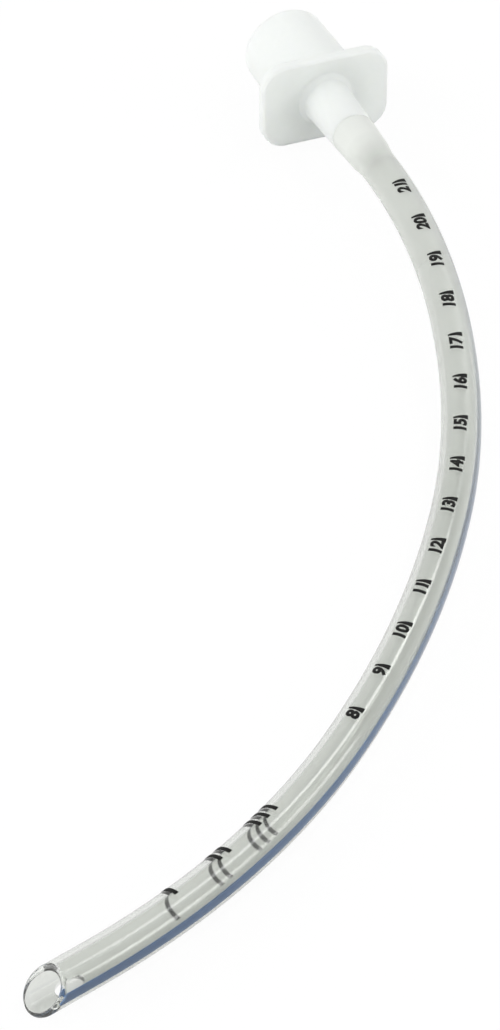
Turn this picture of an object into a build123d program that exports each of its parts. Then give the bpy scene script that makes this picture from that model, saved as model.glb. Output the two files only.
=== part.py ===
# Uncuffed endotracheal tube with its 15 mm connector, lying on a surface.
#
# The clear tube is bent like the airway, and its far end is cut to a bevel with an oval side eye
# opposite. A radiopaque line runs in the wall along the outside of the bend. Depth rings and
# centimetre marks are printed on the wall. The connector's nipple is pushed into the other end.
#
# Millimetres and degrees. The origin is the middle of the flat lower edge of the connector's
# flange, which stands on the surface at Z = 0. +Y is the connector's axis, out of its open end,
# and +Z is up. Across a section of the tube, x points to the outside of the bend, y points up,
# and z runs along the tube towards its tip.

import os
from math import asin, cos, degrees, floor, radians, sin, sqrt

from build123d import *

# Tube
LUMEN_DIAMETER = 4.5
TUBE_DIAMETER = 6.2
TIP_STRAIGHT = 10.0              # from the far end of the bevel to the first bend
LOWER_BEND_RADIUS = 127.0
LOWER_BEND_ANGLE = 25.0
MIDDLE_BEND_RADIUS = 207.0
MIDDLE_BEND_ANGLE = 15.2
UPPER_BEND_RADIUS = 150.0        # two of these, one after the other, lift the tube's end
UPPER_BEND_ANGLE = 17.2
FLARE_RUN = 2.5                  # where the wall opens out to go over the nipple

# Bevelled tip
BEVEL_ANGLE = 50.0               # between the cut and the tube's axis
BEVEL_FACING = 80.0              # angle round the section that the opening faces
RIM_OUTER_EDGE = 0.45
RIM_INNER_EDGE = 0.15
EYE_LENGTH = 4.4
EYE_WIDTH = 2.6
EYE_FROM_TIP = 7.2

# Line in the wall
LINE_WIDTH = 1.4
LINE_DEPTH = 0.4
LINE_ANGLE = 9.0                 # round the section, at the line's middle

# Printed marks
INK_THICKNESS = 0.05
RING_WIDTH = 0.7
RING_PITCH = 1.9
RING_START_ANGLE = 90.0
RING_END_ANGLE = 264.0
RING_LEAN = 7.0                  # tips the rings over, away from the tip at their lower end
SINGLE_RING_FROM_TIP = 25.8
DOUBLE_RING_FROM_TIP = 35.5
TRIPLE_RING_FROM_TIP = 45.0
SCALE_AT_TIP = 10.0              # what the printed scale would read at the tip
FIRST_MARK = 8
MARK_SPACING = 10.0
MARK_FREE_LENGTH = 5.0           # no mark lies nearer to the flare than this
MARK_WIDTH = 0.6
MARK_LENGTH = 2.3
MARK_ANGLE = 95.0                # round the section, at the middle of a mark

# Connector
CONE_END_DIAMETER = 15.0
CONE_LENGTH = 16.0
CONE_TAPER = 1.0 / 40.0
CONE_WALL = 1.4
CONE_EDGE = 0.4
BORE_DRAFT = 0.3                 # how much the bore's radius shrinks from its mouth to its floor
FUNNEL_DEPTH = 4.5
GAS_WAY_DIAMETER = 4.2
FLANGE_WIDTH = 23.0
FLANGE_THICKNESS = 2.2
FLANGE_CORNER = 4.4
FLANGE_EDGE = 0.4
FLANGE_LIP = 0.1                 # the flange stands this far below and above the cone
NECK_LENGTH = 12.0
NECK_BASE_DIAMETER = 8.4
NECK_ROOT = 0.8                  # slope between the neck and the flange
NIPPLE_LENGTH = 7.0
NIPPLE_BASE_DIAMETER = 6.2
NIPPLE_TIP_DIAMETER = 5.4
NIPPLE_EDGE = 0.25
NIPPLE_CLEARANCE = 0.02

tube_radius = TUBE_DIAMETER / 2
lumen_radius = LUMEN_DIAMETER / 2
gas_way_radius = GAS_WAY_DIAMETER / 2
cone_end_radius = CONE_END_DIAMETER / 2
cone_base_radius = cone_end_radius + CONE_LENGTH * CONE_TAPER / 2
axis_height = cone_base_radius + FLANGE_LIP

# places along the connector's axis
flange_back = -FLANGE_THICKNESS / 2
flange_front = FLANGE_THICKNESS / 2
cone_end = flange_front + CONE_LENGTH
bore_floor = flange_front + CONE_WALL
shoulder = flange_back - NECK_LENGTH
nipple_tip = shoulder - NIPPLE_LENGTH


def stretched(inner_radius):
    """Outer radius of the tube's wall where it is stretched round a larger inner radius."""
    return sqrt(inner_radius ** 2 + tube_radius ** 2 - lumen_radius ** 2)


sleeve_end_inner = NIPPLE_BASE_DIAMETER / 2 + NIPPLE_CLEARANCE
sleeve_neck_inner = NIPPLE_TIP_DIAMETER / 2 + NIPPLE_CLEARANCE
sleeve_end_outer = stretched(sleeve_end_inner)
sleeve_neck_outer = stretched(sleeve_neck_inner)
line_start_angle = LINE_ANGLE - degrees(LINE_WIDTH / 2 / tube_radius)
line_end_angle = LINE_ANGLE + degrees(LINE_WIDTH / 2 / tube_radius)


def wall_sector(inner, outer, start_angle, end_angle):
    """Part of a ring, between two angles round the tube's section."""
    sweep_angle = end_angle - start_angle
    outer_arc = CenterArc((0, 0), outer, start_angle, sweep_angle)
    inner_arc = CenterArc((0, 0), inner, start_angle, sweep_angle)
    return make_face(
        [outer_arc, inner_arc, Line(outer_arc @ 0, inner_arc @ 0), Line(outer_arc @ 1, inner_arc @ 1)]
    )


line_section = wall_sector(
    tube_radius - LINE_DEPTH, tube_radius, line_start_angle, line_end_angle
)
wall_section = Circle(tube_radius) - Circle(lumen_radius) - line_section


class Route:
    """Follows the tube's middle line away from the connector and keeps what is made along it."""

    def __init__(self, start):
        self.plane = start
        self.walls = []
        self.lines = []
        self.stretches = []
        self.length = 0.0

    def keep(self, wall, line, length, plane_at):
        self.walls.append(wall)
        self.lines.append(line)
        self.stretches.append((self.length, length, plane_at))
        self.length += length
        self.plane = plane_at(length)

    def bend(self, radius, angle, toward):
        """Bends round a centre on the side of the unit vector toward, and returns that side
        as it is at the end of the bend."""
        start = self.plane
        centre = start.origin + toward * radius
        axis = Axis(centre, start.z_dir.cross(toward))
        length = radius * radians(angle)

        def plane_at(along):
            turned = degrees(along / radius)
            origin = centre - toward.rotate(axis, turned) * radius
            return Plane(
                origin, start.x_dir.rotate(axis, turned), start.z_dir.rotate(axis, turned)
            )

        wall = revolve(start * wall_section, axis, angle)
        line = revolve(start * line_section, axis, angle)
        self.keep(wall, line, length, plane_at)
        return toward.rotate(axis, angle)

    def end(self, wall, line, length):
        """Ends the route with a straight stretch that is already made."""
        self.keep(wall, line, length, self.plane.offset)

    def inside(self):
        """The level direction, square to the tube, towards the inside of its curve."""
        return self.plane.z_dir.cross(Vector(0, 0, 1)).normalized()

    def band(self, section, from_tip, width, lean=0.0):
        """A short band of a section, at a distance back from the route's end. It is so short
        that it is straight. Its two sides tip over by the angle lean."""
        middle = self.length - from_tip
        for start, length, plane_at in self.stretches:
            if start <= middle <= start + length:
                plane = plane_at(middle - start)
                across = Axis(plane.origin, plane.x_dir)
                slab_plane = Plane(plane.origin, plane.x_dir, plane.z_dir.rotate(across, lean))
                slab = extrude(slab_plane * Circle(TUBE_DIAMETER), amount=width / 2, both=True)
                return extrude(plane * section, amount=TUBE_DIAMETER, both=True) & slab
        raise ValueError(f"the tube has no section {from_tip} mm from its tip")


def make_sleeve():
    """The end of the tube that is stretched over the nipple, and its stretch of the line."""
    flared_length = NIPPLE_LENGTH + FLARE_RUN
    profile_plane = Plane((0, shoulder, axis_height), x_dir=(1, 0, 0), z_dir=(0, 0, -1))
    axis = Axis((0, shoulder, axis_height), (0, -1, 0))
    wall_profile = make_face(
        Polyline(
            (sleeve_end_inner, 0),
            (sleeve_end_outer, 0),
            (sleeve_neck_outer, NIPPLE_LENGTH),
            (tube_radius, flared_length),
            (lumen_radius, flared_length),
            (sleeve_neck_inner, NIPPLE_LENGTH),
            close=True,
        )
    )
    line_profile = make_face(
        Polyline(
            (sleeve_end_outer - LINE_DEPTH, 0),
            (sleeve_end_outer, 0),
            (sleeve_neck_outer, NIPPLE_LENGTH),
            (tube_radius, flared_length),
            (tube_radius - LINE_DEPTH, flared_length),
            (sleeve_neck_outer - LINE_DEPTH, NIPPLE_LENGTH),
            close=True,
        )
    )
    line = revolve(profile_plane * line_profile, axis, line_end_angle - line_start_angle)
    line = line.rotate(axis, line_start_angle)
    wall = revolve(profile_plane * wall_profile, axis, 360) - line
    return wall, line


def make_tip(start):
    """The straight tip, with its bevel facing up and the eye in the wall under it."""
    turned = radians(BEVEL_FACING)
    facing = start.x_dir * cos(turned) + start.y_dir * sin(turned)
    plane = Plane(start.origin, x_dir=facing, z_dir=start.z_dir)
    wall = Circle(tube_radius) - Circle(lumen_radius)
    blank = extrude(plane * wall, amount=TIP_STRAIGHT + TUBE_DIAMETER)
    lowest = plane.from_local_coords((-tube_radius, 0, TIP_STRAIGHT))
    bevel = radians(BEVEL_ANGLE)
    cut_normal = facing * cos(bevel) + plane.z_dir * sin(bevel)
    outward = Axis(lowest, cut_normal)
    blank = split(blank, bisect_by=Plane(lowest, z_dir=cut_normal), keep=Keep.BOTTOM)
    outer_rim = blank.faces().sort_by(outward)[-1].edges().sort_by(SortBy.LENGTH)[-1]
    blank = chamfer(outer_rim, RIM_OUTER_EDGE)
    inner_rim = blank.faces().sort_by(outward)[-1].edges().sort_by(SortBy.LENGTH)[0]
    blank = chamfer(inner_rim, RIM_INNER_EDGE)
    eye_plane = Plane(
        plane.from_local_coords((0, 0, TIP_STRAIGHT - EYE_FROM_TIP)),
        x_dir=plane.y_dir,
        z_dir=-facing,
    )
    eye = extrude(eye_plane * Ellipse(EYE_WIDTH / 2, EYE_LENGTH / 2), amount=2 * tube_radius)
    blank -= eye
    line_space = wall_sector(
        tube_radius - LINE_DEPTH, TUBE_DIAMETER, line_start_angle, line_end_angle
    )
    line_blank = extrude(start * line_space, amount=TIP_STRAIGHT + TUBE_DIAMETER)
    return blank - line_blank, blank & line_blank


def make_connector():
    """Tapered 15 mm cone, winged flange, neck and nipple, moulded as one piece."""
    profile_plane = Plane((0, 0, axis_height), x_dir=(1, 0, 0), z_dir=(0, 0, 1))
    axis = Axis((0, 0, axis_height), (0, 1, 0))
    neck_radius = NECK_BASE_DIAMETER / 2
    outline = Polyline(
        (0, nipple_tip),
        (NIPPLE_TIP_DIAMETER / 2, nipple_tip),
        (NIPPLE_BASE_DIAMETER / 2, shoulder),
        (sleeve_end_outer, shoulder),
        (neck_radius, flange_back - NECK_ROOT),
        (neck_radius + NECK_ROOT, flange_back),
        (neck_radius + NECK_ROOT, 0),
        (cone_base_radius, 0),
        (cone_base_radius, flange_front),
        (cone_end_radius, cone_end),
        (0, cone_end),
        close=True,
    )
    body = revolve(profile_plane * make_face(outline), axis, 360)

    flange_plane = Plane((0, 0, axis_height), x_dir=(1, 0, 0), z_dir=(0, -1, 0))
    flange_outline = RectangleRounded(FLANGE_WIDTH, 2 * axis_height, FLANGE_CORNER)
    flange = extrude(flange_plane * flange_outline, amount=FLANGE_THICKNESS / 2, both=True)
    flange = chamfer(flange.faces().filter_by(Axis.Y).edges(), FLANGE_EDGE)

    mouth_radius = cone_end_radius - CONE_WALL
    bore_outline = Polyline(
        (0, nipple_tip),
        (gas_way_radius, nipple_tip),
        (gas_way_radius, bore_floor - FUNNEL_DEPTH),
        (mouth_radius - BORE_DRAFT, bore_floor),
        (mouth_radius, cone_end),
        (0, cone_end),
        close=True,
    )
    bore = revolve(profile_plane * make_face(bore_outline), axis, 360)
    connector = body + flange - bore

    end_rims = connector.faces().sort_by(Axis.Y)[-1].edges()
    connector = chamfer(end_rims, CONE_EDGE)
    nipple_rim = connector.faces().sort_by(Axis.Y)[0].edges()
    return chamfer(nipple_rim, NIPPLE_EDGE)


def ink_section(start_angle, end_angle):
    """A thin film of ink on the tube, round part of its section."""
    return wall_sector(tube_radius, tube_radius + INK_THICKNESS, start_angle, end_angle)


# the tube, from the nipple to the tip
sleeve, sleeve_line = make_sleeve()
flare_end = Plane((0, nipple_tip - FLARE_RUN, axis_height), x_dir=(1, 0, 0), z_dir=(0, -1, 0))
route = Route(flare_end)

# two like bends, tilted opposite ways, bring the tube down to the surface
drop = axis_height - tube_radius
tilt = asin(drop / (2 * UPPER_BEND_RADIUS * (1 - cos(radians(UPPER_BEND_ANGLE)))))
downward = route.inside() * cos(tilt) - Vector(0, 0, 1) * sin(tilt)
bend_side = route.bend(UPPER_BEND_RADIUS, UPPER_BEND_ANGLE, downward)
level_side = route.inside()
upward = level_side * (2 * level_side.dot(bend_side)) - bend_side
route.bend(UPPER_BEND_RADIUS, UPPER_BEND_ANGLE, upward)
route.bend(MIDDLE_BEND_RADIUS, MIDDLE_BEND_ANGLE, route.inside())
route.bend(LOWER_BEND_RADIUS, LOWER_BEND_ANGLE, route.inside())

tip, tip_line = make_tip(route.plane)
route.end(tip, tip_line, TIP_STRAIGHT)

tube = sleeve
for wall in route.walls:
    tube += wall
radiopaque_line = sleeve_line
for line in route.lines:
    radiopaque_line += line

# the printed marks
ring_section = ink_section(RING_START_ANGLE, RING_END_ANGLE)
rings = []
for count, middle in ((1, SINGLE_RING_FROM_TIP), (2, DOUBLE_RING_FROM_TIP), (3, TRIPLE_RING_FROM_TIP)):
    for number in range(count):
        from_tip = middle + (number - (count - 1) / 2) * RING_PITCH
        rings.append(route.band(ring_section, from_tip, RING_WIDTH, RING_LEAN))

mark_half_angle = degrees(MARK_LENGTH / 2 / tube_radius)
mark_section = ink_section(MARK_ANGLE - mark_half_angle, MARK_ANGLE + mark_half_angle)
last_mark = floor((route.length - MARK_FREE_LENGTH + SCALE_AT_TIP) / MARK_SPACING)
marks = []
for number in range(FIRST_MARK, last_mark + 1):
    from_tip = number * MARK_SPACING - SCALE_AT_TIP
    marks.append(route.band(mark_section, from_tip, MARK_WIDTH))

os.makedirs("parts", exist_ok=True)
nodes = {
    "tube": tube,
    "radiopaque_line": radiopaque_line,
    "connector": make_connector(),
    "depth_rings": Compound(children=rings),
    "depth_scale": Compound(children=marks),
}
for name, shape in nodes.items():
    export_step(shape, f"parts/{name}.step")
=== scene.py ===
# Looks of the endotracheal tube: its clear wall with the blue line inside, the printed rings, marks
# and numbers, the milky connector, and the floor, light and camera.
#
# Metres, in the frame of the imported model: the connector's flange stands at the origin, +Y is the
# connector's axis out of its open end, and the tube lies on Z = 0. A place on the tube is given by
# its distance from the tip, and by the angle round its section: 0 is the outside of the bend, 90 the
# top and 180 the inside.

from collections import namedtuple
from math import acos, asin, cos, degrees, pi, radians, sin, sqrt, tan

import bmesh
import bpy
from mathutils import Matrix, Vector


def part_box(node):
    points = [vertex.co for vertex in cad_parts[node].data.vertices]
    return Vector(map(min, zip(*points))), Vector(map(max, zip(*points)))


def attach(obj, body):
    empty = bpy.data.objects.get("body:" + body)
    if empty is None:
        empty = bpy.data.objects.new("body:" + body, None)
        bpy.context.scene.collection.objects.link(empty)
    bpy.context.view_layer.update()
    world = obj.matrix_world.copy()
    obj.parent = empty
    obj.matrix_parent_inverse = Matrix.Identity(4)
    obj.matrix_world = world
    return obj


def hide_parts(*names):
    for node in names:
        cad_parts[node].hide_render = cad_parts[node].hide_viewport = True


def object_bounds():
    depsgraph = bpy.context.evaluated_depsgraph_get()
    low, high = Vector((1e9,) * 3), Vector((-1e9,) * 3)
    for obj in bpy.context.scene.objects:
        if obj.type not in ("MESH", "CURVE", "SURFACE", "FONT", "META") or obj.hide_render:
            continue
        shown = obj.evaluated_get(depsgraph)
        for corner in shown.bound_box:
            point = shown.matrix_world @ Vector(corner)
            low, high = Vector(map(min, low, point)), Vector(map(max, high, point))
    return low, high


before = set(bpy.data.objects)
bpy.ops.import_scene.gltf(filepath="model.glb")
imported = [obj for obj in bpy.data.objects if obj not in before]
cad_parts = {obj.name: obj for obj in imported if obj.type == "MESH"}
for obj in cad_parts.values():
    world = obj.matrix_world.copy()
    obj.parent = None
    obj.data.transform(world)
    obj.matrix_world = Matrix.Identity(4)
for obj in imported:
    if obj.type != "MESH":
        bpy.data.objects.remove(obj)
cad_low, cad_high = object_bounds()
connector_low, connector_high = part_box("connector")

MM = 0.001

# Tube
TUBE_RADIUS = 3.1 * MM
LUMEN_RADIUS = 2.25 * MM
UPPER_BEND = (150.0 * MM, 17.2)
MIDDLE_BEND = (207.0 * MM, 15.2)
LOWER_BEND = (127.0 * MM, 25.0)
TIP_STRAIGHT = 10.0 * MM
BEVEL_ANGLE = 50.0               # between the cut and the tube's axis
BEVEL_FACING = 80.0              # angle round the section that the opening faces
RIM_OUTER_ROUNDING = 0.45 * MM
RIM_INNER_ROUNDING = 0.15 * MM
EYE_LENGTH = 4.4 * MM
EYE_WIDTH = 2.6 * MM
EYE_FROM_TIP = 7.2 * MM
NIPPLE_LENGTH = 7.0 * MM
FLARE_RUN = 2.5 * MM
NIPPLE_BASE_INNER = 3.12 * MM
NIPPLE_TIP_INNER = 2.72 * MM
SLEEVE_END_BULGE = 0.12 * MM     # of the face that ends the wall at the connector
SLEEVE_END_ROWS = (0.3, 0.7)     # where it bulges, as shares of the wall's thickness

# Steps of the tube's mesh
AROUND = 96                      # points round a section
STEP = 1.0 * MM                  # between two sections
TIP_ROWS = 14                    # along the straight tip
FACE_ROWS = 3                    # across the flat of the cut
RIM_STEPS = 6
EYE_STEPS = 48
SHARP_ANGLE = 45.0               # edges are shaded as sharp over this angle

# Line in the wall
LINE_WIDTH = 1.4 * MM
LINE_DEPTH = 0.4 * MM
LINE_ANGLE = 9.0                 # round the section, at the line's middle
LINE_ANGLE_AT_TIP = 4.0          # where the line has wandered to at the start of the straight tip
LINE_WANDER = 30.0 * MM          # the stretch before that, in which it wanders
LINE_COVER = 0.04 * MM           # clear wall over the line
LINE_AROUND = 12
LINE_TIP_ROWS = 10

# Print
INK_THICKNESS = 0.04 * MM
INK_DEPTH = 0.03 * MM            # what is sunk in the wall, so that no air shows between it and the ink
SCALE_AT_TIP = 10.0              # what the printed scale would read at the tip, in millimetres
MARK_SPACING = 10.0              # in millimetres
MARKS = range(8, 22)
MARK_LENGTH = 2.3 * MM
MARK_WIDE_END = 0.95 * MM
MARK_NARROW_END = 0.3 * MM
MARK_STEPS = 10
PRINT_ANGLE = 95.0               # round the section, at the middle of the marks and the numbers
NUMBER_HEIGHT = 1.85 * MM
NUMBER_STRETCH = 1.15            # widens the digits along the tube
NUMBER_GAP = 0.42 * MM           # from the middle of a mark to its number
NUMBER_SLANT = 0.15
NUMBER_WEIGHT = 0.07             # makes the strokes bolder, as a share of the digits' height
NUMBER_ROWS = 12                 # strips that the digits are cut into, to bend round the tube
DIGIT_SHARE = 0.7                # height of a digit in a letter form of size 1
DIGIT_CURVE_STEPS = 4
RING_WIDTH = 0.7 * MM
RING_PITCH = 1.9 * MM
RING_LEAN = 7.0                  # tips the rings over, away from the tip at their lower end
RING_ANGLES = (90.0, 264.0)
RING_STEPS = 40
RING_GROUPS = ((1, 25.8 * MM), (2, 35.5 * MM), (3, 45.0 * MM))

# How hazy and how rough the wall is, and how pale the line looks, at places on the Y axis
HAZE = ((-170 * MM, 0.02), (-108 * MM, 0.05), (-75 * MM, 0.22), (-26 * MM, 0.36), (-18 * MM, 0.9))
ROUGHNESS = ((-150 * MM, 0.09), (-100 * MM, 0.14), (-60 * MM, 0.26))
LINE_PALENESS = ((-150 * MM, 0.0), (-90 * MM, 0.5), (-20 * MM, 1.0))

# Colours
PVC_TINT = (0.785, 0.80, 0.77, 1)
HAZE_TINT = (0.76, 0.775, 0.75, 1)
SHADOW_TINTS = ((0.92, 0.93, 0.91, 1), (0.25, 0.25, 0.25, 1))
LINE_TONES = ((0.075, 0.16, 0.33, 1), (0.105, 0.20, 0.39, 1))
LINE_PALE_TONE = (0.36, 0.38, 0.39, 1)
INK_TONES = ((0.003, 0.003, 0.003, 1), (0.012, 0.012, 0.011, 1))
PLASTIC_TONES = ((0.86, 0.895, 0.865, 1), (0.90, 0.925, 0.90, 1))
FLOOR_TONE = (0.86, 0.86, 0.86, 1)

# Surfaces
BUMP_DISTANCE = 0.1 * MM
HAZE_SENT_BACK = 0.8             # share of the light in the haze, the rest comes through
SHADOW_FACING = (0.25, 0.6)      # where each shadow tint is reached, from 0 face on to 1 at the edges
PLASTIC_SOFT_EDGE = 0.5 * MM
PLASTIC_GLOW_DEPTH = 3.0 * MM
PLASTIC_GLOW = (1.0, 1.0, 0.9)   # how far red, green and blue spread, as shares of that depth

# Floor and light
FLOOR_REACH = 6.0                # metres to each side
FLOOR_DROP = 0.02 * MM           # keeps the tube's lowest faces out of the floor
WORLD_STRENGTH = 0.85

# How much of the floor's look is plain white, where it is seen directly or in a reflection, and
# where it is seen through the tube
SEEN_WHITE = 0.93
SEEN_THROUGH_WHITE = 0.4

# Camera, as it was fitted to the photograph of 500 x 1030 pixels
PHOTO_HEIGHT = 1030
SENSOR = 36.0                    # in millimetres, as Blender takes it
FOCAL_PIXELS = 3923.0
CAMERA_AZIMUTH = 21.95
CAMERA_ELEVATION = 38.04
CAMERA_DISTANCE = 588.3 * MM
CAMERA_TARGET = Vector((-51.07, -93.32, 0.0)) * MM
CLIP_START = 10.0 * MM

# The connector's axis runs through the middle of its box, and the box ends at the nipple's tip
axis_height = connector_high.z / 2
nipple_tip = connector_low.y

Section = namedtuple("Section", "origin side up ahead along outer inner")


def stretched(inner):
    """Outer radius of the wall where it is stretched round a larger inner radius."""
    return sqrt(inner ** 2 + TUBE_RADIUS ** 2 - LUMEN_RADIUS ** 2)


def between(a, b, share):
    return a + (b - a) * share


def step_count(length):
    return max(1, round(length / STEP))


def straight_sections(start, length, end_outer, end_inner):
    """Sections along a straight stretch, after the start, while the wall changes its radii."""
    count = step_count(length)
    sections = []
    for number in range(1, count + 1):
        share = number / count
        sections.append(
            Section(
                start.origin + start.ahead * length * share,
                start.side,
                start.up,
                start.ahead,
                start.along + length * share,
                between(start.outer, end_outer, share),
                between(start.inner, end_inner, share),
            )
        )
    return sections


def bend_sections(start, bend, toward):
    """Sections round one bend, whose centre lies towards the unit vector, and that side at its end."""
    radius, angle = bend
    length = radius * radians(angle)
    axis = start.ahead.cross(toward)
    centre = start.origin + toward * radius
    count = step_count(length)
    sections = []
    for number in range(1, count + 1):
        turn = Matrix.Rotation(radians(angle) * number / count, 3, axis)
        sections.append(
            Section(
                centre - (turn @ toward) * radius,
                turn @ start.side,
                turn @ start.up,
                turn @ start.ahead,
                start.along + length * number / count,
                start.outer,
                start.inner,
            )
        )
    return sections, turn @ toward


def inside(section):
    """The level direction, square to the tube, towards the inside of its curve."""
    return section.ahead.cross(Vector((0, 0, 1))).normalized()


def tube_sections():
    """All sections of the tube from the connector to the start of its straight tip."""
    sections = [
        Section(
            Vector((0, nipple_tip + NIPPLE_LENGTH, axis_height)),
            Vector((1, 0, 0)),
            Vector((0, 0, 1)),
            Vector((0, -1, 0)),
            0.0,
            stretched(NIPPLE_BASE_INNER),
            NIPPLE_BASE_INNER,
        )
    ]
    sections += straight_sections(
        sections[-1], NIPPLE_LENGTH, stretched(NIPPLE_TIP_INNER), NIPPLE_TIP_INNER
    )
    sections += straight_sections(sections[-1], FLARE_RUN, TUBE_RADIUS, LUMEN_RADIUS)

    # Two tilted arcs bring the tube down: the second is tilted the other way, so that it ends level
    radius, angle = UPPER_BEND
    drop = axis_height - TUBE_RADIUS
    tilt = asin(drop / (2 * radius * (1 - cos(radians(angle)))))
    downward = inside(sections[-1]) * cos(tilt) - Vector((0, 0, 1)) * sin(tilt)
    more, bend_side = bend_sections(sections[-1], UPPER_BEND, downward)
    sections += more
    level = inside(sections[-1])
    upward = level * (2 * level.dot(bend_side)) - bend_side
    for bend in (UPPER_BEND, MIDDLE_BEND, LOWER_BEND):
        toward = upward if bend is UPPER_BEND else inside(sections[-1])
        more, bend_side = bend_sections(sections[-1], bend, toward)
        sections += more
    return sections


route = tube_sections()
tip_start = route[-1]
tube_length = tip_start.along + TIP_STRAIGHT


def section_at(from_tip):
    """The section at a distance back from the far end of the bevel."""
    along = tube_length - from_tip
    if along >= tip_start.along:
        return tip_start._replace(
            origin=tip_start.origin + tip_start.ahead * (along - tip_start.along), along=along
        )
    after = next(number for number, section in enumerate(route) if section.along > along)
    a, b = route[after - 1], route[after]
    share = (along - a.along) / (b.along - a.along)
    return Section(
        between(a.origin, b.origin, share),
        between(a.side, b.side, share).normalized(),
        between(a.up, b.up, share).normalized(),
        between(a.ahead, b.ahead, share).normalized(),
        along,
        between(a.outer, b.outer, share),
        between(a.inner, b.inner, share),
    )


def on_section(section, angle, radius, ahead=0.0):
    """A point round a section, at an angle in degrees."""
    turned = radians(angle)
    across = section.side * cos(turned) + section.up * sin(turned)
    return section.origin + across * radius + section.ahead * ahead


def bevel_reach(angle, radius, below=0.0):
    """How far the bevel's plane lies past the start of the straight tip, at one angle and radius,
    or a plane that lies below it in the wall."""
    height = radius * cos(radians(angle - BEVEL_FACING))
    slope = radians(BEVEL_ANGLE)
    return TIP_STRAIGHT - (height + TUBE_RADIUS) / tan(slope) - below / sin(slope)


def new_object(name, mesh, look, slot, *nodes):
    """A piece of the object, which rides on the one body and stands for the CAD nodes named."""
    piece = bpy.data.objects.new(name, mesh)
    bpy.context.scene.collection.objects.link(piece)
    mesh.materials.append(look)
    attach(piece, "root")
    if nodes:
        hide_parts(*nodes)
    return piece


def mesh_of_loops(name, loops, closed_along=True):
    """A mesh whose rows are closed loops of points, one after the other, joined by four-sided faces."""
    count = len(loops[0])
    points = [point for loop in loops for point in loop]
    faces = []
    pairs = list(zip(range(len(loops)), range(1, len(loops))))
    if closed_along:
        pairs.append((len(loops) - 1, 0))
    for row, next_row in pairs:
        for number in range(count):
            after = (number + 1) % count
            faces.append(
                (
                    row * count + number,
                    row * count + after,
                    next_row * count + after,
                    next_row * count + number,
                )
            )
    mesh = bpy.data.meshes.new(name)
    mesh.from_pydata(points, [], faces)
    mesh.validate()
    mesh.update()
    tidy = bmesh.new()
    tidy.from_mesh(mesh)
    bmesh.ops.recalc_face_normals(tidy, faces=tidy.faces)
    tidy.to_mesh(mesh)
    tidy.free()
    for face in mesh.polygons:
        face.use_smooth = True
    return mesh


def closed_tube(name, loops):
    """A mesh of loops, one after the other, with both ends filled."""
    mesh = mesh_of_loops(name, loops, closed_along=False)
    caps = bmesh.new()
    caps.from_mesh(mesh)
    bmesh.ops.holes_fill(caps, edges=caps.edges)
    bmesh.ops.recalc_face_normals(caps, faces=caps.faces)
    caps.to_mesh(mesh)
    caps.free()
    return mesh


def rim_loops(angles, middle_radius, rounding, outward):
    """Rows round a rounded edge of the bevel, from the wall to the flat of the cut, as a ball
    would roll them. The ball's middle runs round the section at a radius of its own."""
    cut_side = on_section(tip_start, BEVEL_FACING, 1.0) - tip_start.origin
    cut_slope = radians(BEVEL_ANGLE)
    cut_normal = cut_side * cos(cut_slope) + tip_start.ahead * sin(cut_slope)
    loops = [[] for _ in range(RIM_STEPS + 1)]
    for angle in angles:
        ahead = bevel_reach(angle, middle_radius, rounding)
        middle = on_section(tip_start, angle, middle_radius, ahead)
        wall_normal = (on_section(tip_start, angle, 1.0) - tip_start.origin) * outward
        turn = acos(wall_normal.dot(cut_normal))
        for step, loop in enumerate(loops):
            part = turn * step / RIM_STEPS
            direction = (wall_normal * sin(turn - part) + cut_normal * sin(part)) / sin(turn)
            loop.append(middle + direction * rounding)
    return loops


def loop_between(a, b, share):
    return [between(one, other, share) for one, other in zip(a, b)]


def tube_mesh():
    """The wall, from the connector along the outside, round the bevel's rim, and back inside."""
    angles = [360.0 * number / AROUND for number in range(AROUND)]
    loops = []
    for section in route:
        loops.append([on_section(section, angle, section.outer) for angle in angles])
    outer_rim = rim_loops(angles, TUBE_RADIUS - RIM_OUTER_ROUNDING, RIM_OUTER_ROUNDING, 1)
    inner_rim = rim_loops(angles, LUMEN_RADIUS + RIM_INNER_ROUNDING, RIM_INNER_ROUNDING, -1)
    outer_start = [on_section(tip_start, angle, TUBE_RADIUS) for angle in angles]
    inner_start = [on_section(tip_start, angle, LUMEN_RADIUS) for angle in angles]
    for row in range(1, TIP_ROWS):
        loops.append(loop_between(outer_start, outer_rim[0], row / TIP_ROWS))
    loops += outer_rim
    for row in range(1, FACE_ROWS):
        loops.append(loop_between(outer_rim[-1], inner_rim[-1], row / FACE_ROWS))
    loops += inner_rim[::-1]
    for row in range(1, TIP_ROWS):
        loops.append(loop_between(inner_rim[0], inner_start, row / TIP_ROWS))
    for section in reversed(route):
        loops.append([on_section(section, angle, section.inner) for angle in angles])
    start = route[0]
    for share in SLEEVE_END_ROWS:
        radius = between(start.inner, start.outer, share)
        loops.append([on_section(start, angle, radius, -SLEEVE_END_BULGE) for angle in angles])
    return mesh_of_loops("tube_wall", loops)


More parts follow.
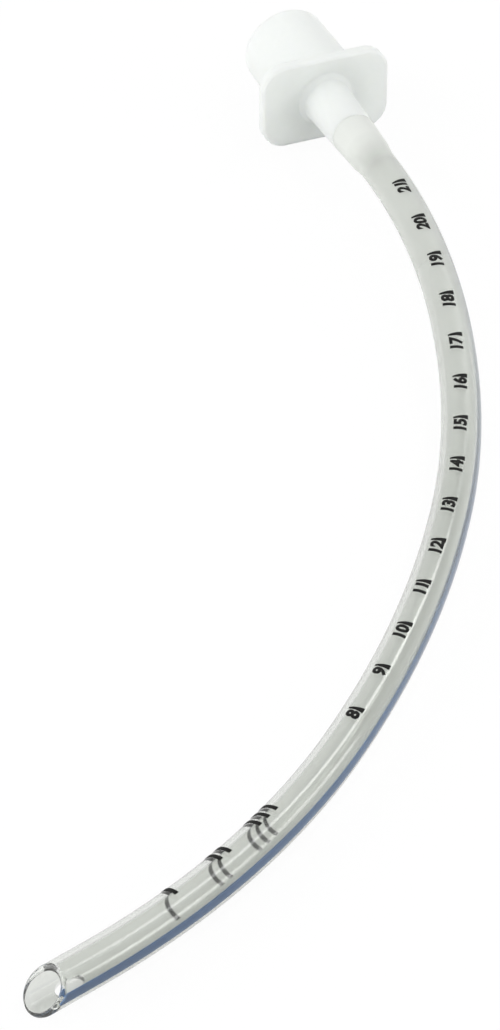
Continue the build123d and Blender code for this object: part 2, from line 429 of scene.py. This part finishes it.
def cut_eye(wall):
    """Cuts the oval side eye through the wall, opposite the bevel."""
    outward = on_section(tip_start, BEVEL_FACING + 180, 1.0) - tip_start.origin
    across = on_section(tip_start, BEVEL_FACING + 90, 1.0) - tip_start.origin
    middle = tip_start.origin + tip_start.ahead * (TIP_STRAIGHT - EYE_FROM_TIP)
    loops = []
    for depth in (0.0, 2 * TUBE_RADIUS):
        loop = []
        for number in range(EYE_STEPS):
            turn = 2 * pi * number / EYE_STEPS
            oval = across * cos(turn) * EYE_WIDTH / 2 + tip_start.ahead * sin(turn) * EYE_LENGTH / 2
            loop.append(middle + oval + outward * depth)
        loops.append(loop)
    cutter_mesh = closed_tube("eye_cutter", loops)
    cutter = bpy.data.objects.new("eye_cutter", cutter_mesh)
    bpy.context.scene.collection.objects.link(cutter)
    cut = wall.modifiers.new("eye", "BOOLEAN")
    cut.operation = "DIFFERENCE"
    cut.solver = "EXACT"
    cut.object = cutter
    bpy.context.view_layer.update()
    ready = wall.evaluated_get(bpy.context.evaluated_depsgraph_get())
    mesh = bpy.data.meshes.new_from_object(ready)
    wall.modifiers.remove(cut)
    wall.data = mesh
    mesh.set_sharp_from_angle(angle=radians(SHARP_ANGLE))
    bpy.data.objects.remove(cutter)


def line_mesh():
    """The blue line, just under the surface along the outside of the bend."""
    half_angle = degrees(LINE_WIDTH / 2 / TUBE_RADIUS)

    def loop(section, reach=None):
        """The line's outline at a section, or at a share of the way from there to the cut."""
        outside = []
        inner = []
        wandered = min(1.0, max(0.0, (section.along - tip_start.along) / LINE_WANDER + 1))
        middle = between(LINE_ANGLE, LINE_ANGLE_AT_TIP, wandered)
        for number in range(LINE_AROUND + 1):
            angle = middle + between(-half_angle, half_angle, number / LINE_AROUND)
            top = section.outer - LINE_COVER
            ahead = 0.0 if reach is None else reach * bevel_reach(angle, top, RIM_OUTER_ROUNDING)
            outside.append(on_section(section, angle, top, ahead))
            inner.append(on_section(section, angle, section.outer - LINE_DEPTH, ahead))
        return outside + inner[::-1]

    loops = [loop(section) for section in route]
    loops += [loop(tip_start, row / LINE_TIP_ROWS) for row in range(1, LINE_TIP_ROWS + 1)]
    return closed_tube("radiopaque_line", loops)


def film(builder, angle_rows, distance_rows):
    """Adds one film of ink to a bmesh: a grid of points given by angle and distance from the tip."""
    layers = []
    for radius_offset in (INK_THICKNESS, -INK_DEPTH):
        grid = []
        for angles, distances in zip(angle_rows, distance_rows):
            row = []
            for angle, distance in zip(angles, distances):
                section = section_at(distance)
                row.append(
                    builder.verts.new(on_section(section, angle, section.outer + radius_offset))
                )
            grid.append(row)
        layers.append(grid)
    top, bottom = layers
    rows = len(top)
    columns = len(top[0])
    for r in range(rows - 1):
        for c in range(columns - 1):
            builder.faces.new((top[r][c], top[r][c + 1], top[r + 1][c + 1], top[r + 1][c]))
            builder.faces.new((bottom[r][c], bottom[r + 1][c], bottom[r + 1][c + 1], bottom[r][c + 1]))
    border = [(0, c) for c in range(columns)]
    border += [(r, columns - 1) for r in range(1, rows)]
    border += [(rows - 1, c) for c in range(columns - 2, -1, -1)]
    border += [(r, 0) for r in range(rows - 2, 0, -1)]
    for number, (r, c) in enumerate(border):
        r2, c2 = border[(number + 1) % len(border)]
        builder.faces.new((top[r][c], bottom[r][c], bottom[r2][c2], top[r2][c2]))


def finished_mesh(name, builder):
    bmesh.ops.recalc_face_normals(builder, faces=builder.faces)
    mesh = bpy.data.meshes.new(name)
    builder.to_mesh(mesh)
    builder.free()
    return mesh


def mark_place(mark):
    """How far from the tip a centimetre mark stands."""
    return (mark * MARK_SPACING - SCALE_AT_TIP) * MM


def ring_lean(angle):
    """How much nearer the tip a leaning ring is, at one angle round it."""
    return TUBE_RADIUS * sin(radians(angle)) * tan(radians(RING_LEAN))


def rings_mesh():
    """The half rings, in groups of one, two and three."""
    builder = bmesh.new()
    first, last = RING_ANGLES
    angles = [between(first, last, step / RING_STEPS) for step in range(RING_STEPS + 1)]
    for count, middle in RING_GROUPS:
        for number in range(count):
            centre = middle + (number - (count - 1) / 2) * RING_PITCH
            distances = []
            for edge in (-0.5, 0.5):
                side = centre + edge * RING_WIDTH
                distances.append([side - ring_lean(angle) for angle in angles])
            film(builder, [angles, angles], distances)
    return finished_mesh("depth_rings", builder)


def scale_mesh():
    """The centimetre marks, wedge-shaped strokes across the tube."""
    builder = bmesh.new()
    half = degrees(MARK_LENGTH / 2 / TUBE_RADIUS)
    shares = [step / MARK_STEPS for step in range(MARK_STEPS + 1)]
    angles = [between(PRINT_ANGLE - half, PRINT_ANGLE + half, share) for share in shares]
    widths = [between(MARK_WIDE_END, MARK_NARROW_END, share) for share in shares]
    for mark in MARKS:
        centre = mark_place(mark)
        low = [centre - width / 2 for width in widths]
        high = [centre + width / 2 for width in widths]
        film(builder, [angles, angles], [low, high])
    return finished_mesh("depth_scale", builder)


def number_mesh(name, text, from_tip):
    """Printed digits wrapped on the tube, read from the tip towards the connector."""
    curve = bpy.data.curves.new(name, "FONT")
    curve.body = text
    curve.size = NUMBER_HEIGHT / DIGIT_SHARE
    curve.shear = NUMBER_SLANT
    curve.offset = NUMBER_WEIGHT * NUMBER_HEIGHT
    curve.resolution_u = DIGIT_CURVE_STEPS
    writer = bpy.data.objects.new(name, curve)
    bpy.context.scene.collection.objects.link(writer)
    bpy.context.view_layer.update()
    mesh = bpy.data.meshes.new_from_object(writer)
    bpy.data.objects.remove(writer)
    flat = bmesh.new()
    flat.from_mesh(mesh)
    lowest = min(v.co.y for v in flat.verts)
    highest = max(v.co.y for v in flat.verts)
    farthest = max(v.co.x for v in flat.verts)
    for row in range(1, NUMBER_ROWS):
        level = between(lowest, highest, row / NUMBER_ROWS)
        bmesh.ops.bisect_plane(
            flat,
            geom=flat.verts[:] + flat.edges[:] + flat.faces[:],
            plane_co=(0, level, 0),
            plane_no=(0, 1, 0),
        )
    middle = (lowest + highest) / 2
    # The height of 1 only tells the outer layer from the inner one
    raised = bmesh.ops.extrude_face_region(flat, geom=flat.faces[:])["geom"]
    for element in raised:
        if isinstance(element, bmesh.types.BMVert):
            element.co.z = 1.0
    for vertex in flat.verts:
        section = section_at(from_tip + (vertex.co.x - farthest) * NUMBER_STRETCH)
        angle = PRINT_ANGLE + degrees((vertex.co.y - middle) / TUBE_RADIUS)
        lift = INK_THICKNESS if vertex.co.z > 0 else -INK_DEPTH
        vertex.co = on_section(section, angle, section.outer + lift)
    bmesh.ops.recalc_face_normals(flat, faces=flat.faces)
    flat.to_mesh(mesh)
    flat.free()
    mesh.name = name
    return mesh


# Materials


def new_material(name):
    """A new material, its nodes and links, and the shader that it starts with."""
    made = bpy.data.materials.new(name)
    made.use_nodes = True
    nodes = made.node_tree.nodes
    return made, nodes, made.node_tree.links, nodes["Principled BSDF"]


def fine_bump(nodes, links, shader, scale, strength, soft_edge=0.0):
    """A slight unevenness of the surface, with its edges rounded to a small radius if one is given.
    Gives back the noise that it follows."""
    place = nodes.new("ShaderNodeTexCoord")
    noise = nodes.new("ShaderNodeTexNoise")
    noise.inputs["Scale"].default_value = scale
    noise.inputs["Detail"].default_value = 3.0
    bump = nodes.new("ShaderNodeBump")
    bump.inputs["Strength"].default_value = strength
    bump.inputs["Distance"].default_value = BUMP_DISTANCE
    links.new(place.outputs["Object"], noise.inputs["Vector"])
    links.new(noise.outputs["Fac"], bump.inputs["Height"])
    if soft_edge:
        rounded = nodes.new("ShaderNodeBevel")
        rounded.samples = 6
        rounded.inputs["Radius"].default_value = soft_edge
        links.new(rounded.outputs["Normal"], bump.inputs["Normal"])
    links.new(bump.outputs["Normal"], shader.inputs["Normal"])
    return noise.outputs["Fac"]


def two_tones(nodes, links, share, tones):
    """A colour that goes from the first tone to the second as the share goes from 0 to 1."""
    ramp = nodes.new("ShaderNodeValToRGB")
    for stop, tone in zip(ramp.color_ramp.elements, tones):
        stop.color = tone
    links.new(share, ramp.inputs["Fac"])
    return ramp.outputs["Color"]


def along_tube(nodes, links, stops):
    """A value that changes along the tube: it has each stop's value at its place on the Y axis."""
    place = nodes.new("ShaderNodeNewGeometry")
    parts = nodes.new("ShaderNodeSeparateXYZ")
    reach = nodes.new("ShaderNodeMapRange")
    ramp = nodes.new("ShaderNodeValToRGB")
    first, last = stops[0][0], stops[-1][0]
    reach.inputs["From Min"].default_value = first
    reach.inputs["From Max"].default_value = last
    for _ in stops[2:]:
        ramp.color_ramp.elements.new(0.5)
    for stop, (y, value) in zip(ramp.color_ramp.elements, stops):
        stop.position = (y - first) / (last - first)
        stop.color = (value, value, value, 1)
    links.new(place.outputs["Position"], parts.inputs["Vector"])
    links.new(parts.outputs["Y"], reach.inputs["Value"])
    links.new(reach.outputs["Result"], ramp.inputs["Fac"])
    return ramp.outputs["Color"]


def clear_pvc():
    """Clear near the tip and hazier towards the connector. A shadow ray goes straight through it, and
    loses most at the tube's edges."""
    made, nodes, links, shader = new_material("clear_pvc")
    shader.inputs["Base Color"].default_value = PVC_TINT
    shader.inputs["Transmission Weight"].default_value = 1.0
    shader.inputs["IOR"].default_value = 1.5
    links.new(along_tube(nodes, links, ROUGHNESS), shader.inputs["Roughness"])
    fine_bump(nodes, links, shader, scale=700.0, strength=0.05)
    through = nodes.new("ShaderNodeBsdfTranslucent")
    through.inputs["Color"].default_value = HAZE_TINT
    back = nodes.new("ShaderNodeBsdfDiffuse")
    back.inputs["Color"].default_value = HAZE_TINT
    haze = nodes.new("ShaderNodeMixShader")
    haze.inputs["Fac"].default_value = HAZE_SENT_BACK
    body = nodes.new("ShaderNodeMixShader")
    links.new(along_tube(nodes, links, HAZE), body.inputs["Fac"])
    clear = nodes.new("ShaderNodeBsdfTransparent")
    facing = nodes.new("ShaderNodeLayerWeight")
    facing.inputs["Blend"].default_value = 0.5
    passed = nodes.new("ShaderNodeValToRGB")
    for stop, position, tint in zip(passed.color_ramp.elements, SHADOW_FACING, SHADOW_TINTS):
        stop.position = position
        stop.color = tint
    links.new(facing.outputs["Facing"], passed.inputs["Fac"])
    links.new(passed.outputs["Color"], clear.inputs["Color"])
    paths = nodes.new("ShaderNodeLightPath")
    choice = nodes.new("ShaderNodeMixShader")
    output = nodes["Material Output"]
    links.new(shader.outputs["BSDF"], body.inputs[1])
    links.new(through.outputs["BSDF"], haze.inputs[1])
    links.new(back.outputs["BSDF"], haze.inputs[2])
    links.new(haze.outputs["Shader"], body.inputs[2])
    links.new(paths.outputs["Is Shadow Ray"], choice.inputs["Fac"])
    links.new(body.outputs["Shader"], choice.inputs[1])
    links.new(clear.outputs["BSDF"], choice.inputs[2])
    links.new(choice.outputs["Shader"], output.inputs["Surface"])
    return made


def blue_line():
    """Blue, slightly uneven, and paler towards the connector."""
    made, nodes, links, shader = new_material("radiopaque_stripe")
    shader.inputs["Roughness"].default_value = 0.35
    noise = fine_bump(nodes, links, shader, scale=400.0, strength=0.1)
    paler = nodes.new("ShaderNodeMix")
    paler.data_type = "RGBA"
    paler.inputs["B"].default_value = LINE_PALE_TONE
    links.new(along_tube(nodes, links, LINE_PALENESS), paler.inputs["Factor"])
    links.new(two_tones(nodes, links, noise, LINE_TONES), paler.inputs["A"])
    links.new(paler.outputs["Result"], shader.inputs["Base Color"])
    return made


def printed_ink():
    """Matt black."""
    made, nodes, links, shader = new_material("ink")
    shader.inputs["Roughness"].default_value = 0.6
    shader.inputs["Specular IOR Level"].default_value = 0.15
    noise = fine_bump(nodes, links, shader, scale=2500.0, strength=0.15)
    links.new(two_tones(nodes, links, noise, INK_TONES), shader.inputs["Base Color"])
    return made


def milky_plastic():
    """White plastic that lets a little light through and spreads it inside."""
    made, nodes, links, shader = new_material("connector_plastic")
    shader.inputs["Roughness"].default_value = 0.38
    shader.inputs["IOR"].default_value = 1.49
    shader.inputs["Transmission Weight"].default_value = 0.25
    shader.inputs["Subsurface Weight"].default_value = 0.6
    shader.inputs["Subsurface Scale"].default_value = PLASTIC_GLOW_DEPTH
    shader.inputs["Subsurface Radius"].default_value = PLASTIC_GLOW
    noise = fine_bump(nodes, links, shader, scale=900.0, strength=0.08, soft_edge=PLASTIC_SOFT_EDGE)
    links.new(two_tones(nodes, links, noise, PLASTIC_TONES), shader.inputs["Base Color"])
    return made


def white_floor():
    """A pale floor that takes shadows, with a share of plain white in it."""
    made, nodes, links, shader = new_material("floor")
    shader.inputs["Base Color"].default_value = FLOOR_TONE
    shader.inputs["Roughness"].default_value = 0.9
    shader.inputs["Specular IOR Level"].default_value = 0.0
    white = nodes.new("ShaderNodeEmission")
    paths = nodes.new("ShaderNodeLightPath")
    seen = nodes.new("ShaderNodeMath")
    seen.operation = "MAXIMUM"
    share = nodes.new("ShaderNodeMath")
    share.operation = "MULTIPLY"
    share.inputs[1].default_value = SEEN_WHITE
    share_through = nodes.new("ShaderNodeMath")
    share_through.operation = "MULTIPLY_ADD"
    share_through.inputs[1].default_value = SEEN_THROUGH_WHITE - SEEN_WHITE
    share_through.use_clamp = True
    mix = nodes.new("ShaderNodeMixShader")
    links.new(paths.outputs["Is Camera Ray"], seen.inputs[0])
    links.new(paths.outputs["Is Glossy Ray"], seen.inputs[1])
    links.new(seen.outputs["Value"], share.inputs[0])
    links.new(paths.outputs["Is Transmission Ray"], share_through.inputs[0])
    links.new(share.outputs["Value"], share_through.inputs[2])
    links.new(share_through.outputs["Value"], mix.inputs["Fac"])
    links.new(shader.outputs["BSDF"], mix.inputs[1])
    links.new(white.outputs["Emission"], mix.inputs[2])
    links.new(mix.outputs["Shader"], nodes["Material Output"].inputs["Surface"])
    return made


# The tube and what is in and on its wall
ink = printed_ink()
tube = new_object("tube_wall", tube_mesh(), clear_pvc(), "clear_pvc", "tube")
cut_eye(tube)
new_object("blue_line", line_mesh(), blue_line(), "radiopaque_stripe", "radiopaque_line")
new_object("printed_rings", rings_mesh(), ink, "ink", "depth_rings")
new_object("printed_scale", scale_mesh(), ink, "ink", "depth_scale")
for mark in MARKS:
    name = f"number_{mark}"
    new_object(name, number_mesh(name, str(mark), mark_place(mark) - NUMBER_GAP), ink, "ink")

# Connector
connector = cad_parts["connector"]
connector.data.materials.clear()
connector.data.materials.append(milky_plastic())

# Floor
floor_mesh = bpy.data.meshes.new("floor")
corners = [(-1, -1), (1, -1), (1, 1), (-1, 1)]
floor_mesh.from_pydata(
    [(x * FLOOR_REACH, y * FLOOR_REACH, -FLOOR_DROP) for x, y in corners], [], [(0, 1, 2, 3)]
)
floor_mesh.materials.append(white_floor())
floor = bpy.data.objects.new("floor", floor_mesh)
bpy.context.scene.collection.objects.link(floor)

# Light
world = bpy.data.worlds.new("studio")
bpy.context.scene.world = world
world.use_nodes = True
world.node_tree.nodes["Background"].inputs["Color"].default_value = (1, 1, 1, 1)
world.node_tree.nodes["Background"].inputs["Strength"].default_value = WORLD_STRENGTH

centre = (cad_low + cad_high) / 2


def softbox(name, place, length, width, along, power):
    """A rectangular lamp that looks at the object, with its long side turned to a direction."""
    lamp = bpy.data.lights.new(name, "AREA")
    lamp.shape = "RECTANGLE"
    lamp.size = length
    lamp.size_y = width
    lamp.energy = power
    back = (place - centre).normalized()
    side = (along - back * along.dot(back)).normalized()
    turned = Matrix((side, back.cross(side), back)).transposed().to_4x4()
    turned.translation = place
    holder = bpy.data.objects.new(name, lamp)
    holder.matrix_world = turned
    bpy.context.scene.collection.objects.link(holder)


softbox(
    "key",
    place=Vector((0.35, 0.03, 0.57)),
    length=0.58,
    width=0.13,
    along=Vector((-0.34, -0.40, 0)),
    power=0.83,
)
softbox(
    "fill",
    place=Vector((0.40, -0.37, 0.22)),
    length=0.50,
    width=0.12,
    along=Vector((-0.24, -0.40, 0)),
    power=0.65,
)
softbox(
    "side",
    place=centre + Vector((-0.55, 0.15, 0.30)),
    length=0.40,
    width=0.40,
    along=Vector((0, 1, 0)),
    power=2.1,
)

# Camera
azimuth = radians(CAMERA_AZIMUTH)
elevation = radians(CAMERA_ELEVATION)
look = Vector((sin(azimuth) * cos(elevation), cos(azimuth) * cos(elevation), -sin(elevation)))
lens = bpy.data.cameras.new("camera")
lens.sensor_fit = "VERTICAL"
lens.sensor_height = SENSOR
lens.lens = FOCAL_PIXELS * SENSOR / PHOTO_HEIGHT
lens.clip_start = CLIP_START
camera = bpy.data.objects.new("camera", lens)
camera.location = CAMERA_TARGET - look * CAMERA_DISTANCE
camera.rotation_euler = look.to_track_quat("-Z", "Y").to_euler()
bpy.context.scene.collection.objects.link(camera)
bpy.context.scene.camera = camera
bpy.context.scene.view_settings.view_transform = "Standard"
